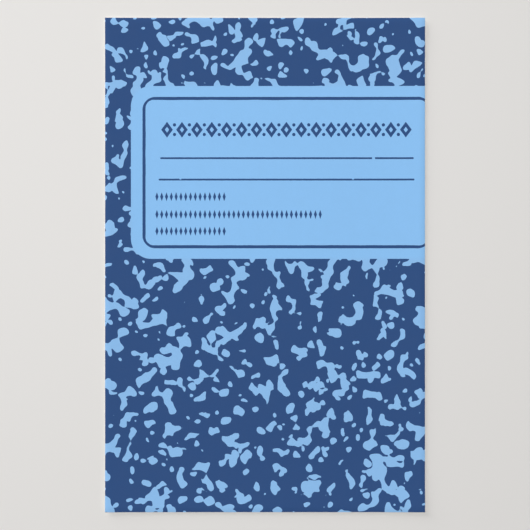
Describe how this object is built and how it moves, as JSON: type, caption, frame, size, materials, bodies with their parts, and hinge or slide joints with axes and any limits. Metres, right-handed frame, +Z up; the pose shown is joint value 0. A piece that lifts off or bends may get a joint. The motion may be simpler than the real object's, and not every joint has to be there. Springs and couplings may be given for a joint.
{
  "type": "printed writing paper sheet",
  "caption": "Half-letter sheet of heavy writing paper, its face printed edge to edge with a mottled pattern and a framed label panel; blank back and square-cut, slightly lifted edges.",
  "frame": {"origin": "on the table under the middle of the sheet", "axes": "+Z up out of the printed face, +Y to the head of the sheet, +X to its right-hand edge"},
  "size_m": [0.1396, 0.216, 0.0014],
  "materials": {
    "printed_paper": "matte uncoated paper, inked edge to edge on the upper face in dark and light blue, bare white on the cut edge and the back"
  },
  "bodies": {
    "root": {"printed_sheet": "printed_paper"}
  },
  "joints": []
}
